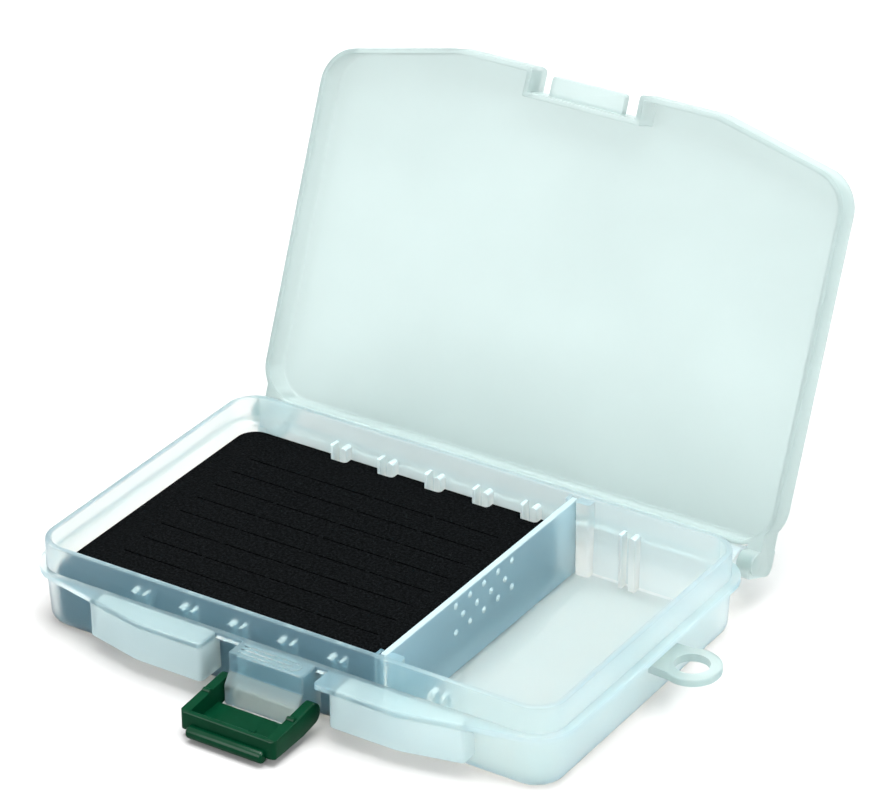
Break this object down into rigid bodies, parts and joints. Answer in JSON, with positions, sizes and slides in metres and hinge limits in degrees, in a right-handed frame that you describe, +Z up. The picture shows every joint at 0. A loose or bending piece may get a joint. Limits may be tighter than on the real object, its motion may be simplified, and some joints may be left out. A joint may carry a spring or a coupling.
{
  "type": "fly box",
  "caption": "Flat pocket case with a hinged lid, a swinging front latch, a slit foam sheet, a lift-out divider and a side ring for a lanyard.",
  "frame": {"origin": "on the underside, in the middle of the tray's rim in plan", "axes": "+X along the hinge towards the lanyard ring, +Y towards the hinge, +Z up"},
  "size_m": [0.1588, 0.1634, 0.1057],
  "materials": {
    "tray": "frosted translucent polypropylene",
    "lid": "frosted translucent polypropylene",
    "latch": "smooth dark green moulding",
    "divider": "frosted translucent polypropylene",
    "foam_sheet": "fine closed-cell foam with slits"
  },
  "bodies": {
    "tray": {"tray": "tray", "foam_sheet": "foam_sheet"},
    "lid": {"lid": "lid"},
    "latch": {"latch": "latch"},
    "divider": {"divider": "divider"}
  },
  "joints": [
    {"name": "lid_hinge", "type": "hinge", "parent": "tray", "child": "lid", "pos_m": [0, 0.049, 0.0132], "axis": [-1, 0, 0], "range_deg": [-112, 0]},
    {"name": "latch_hinge", "type": "hinge", "parent": "tray", "child": "latch", "pos_m": [0, -0.0503, 0.0056], "axis": [1, 0, 0], "range_deg": [-90, 0]},
    {"name": "divider_lift", "type": "slide", "parent": "tray", "child": "divider", "axis": [0, 0, 1], "range_m": [0, 0.03]}
  ]
}
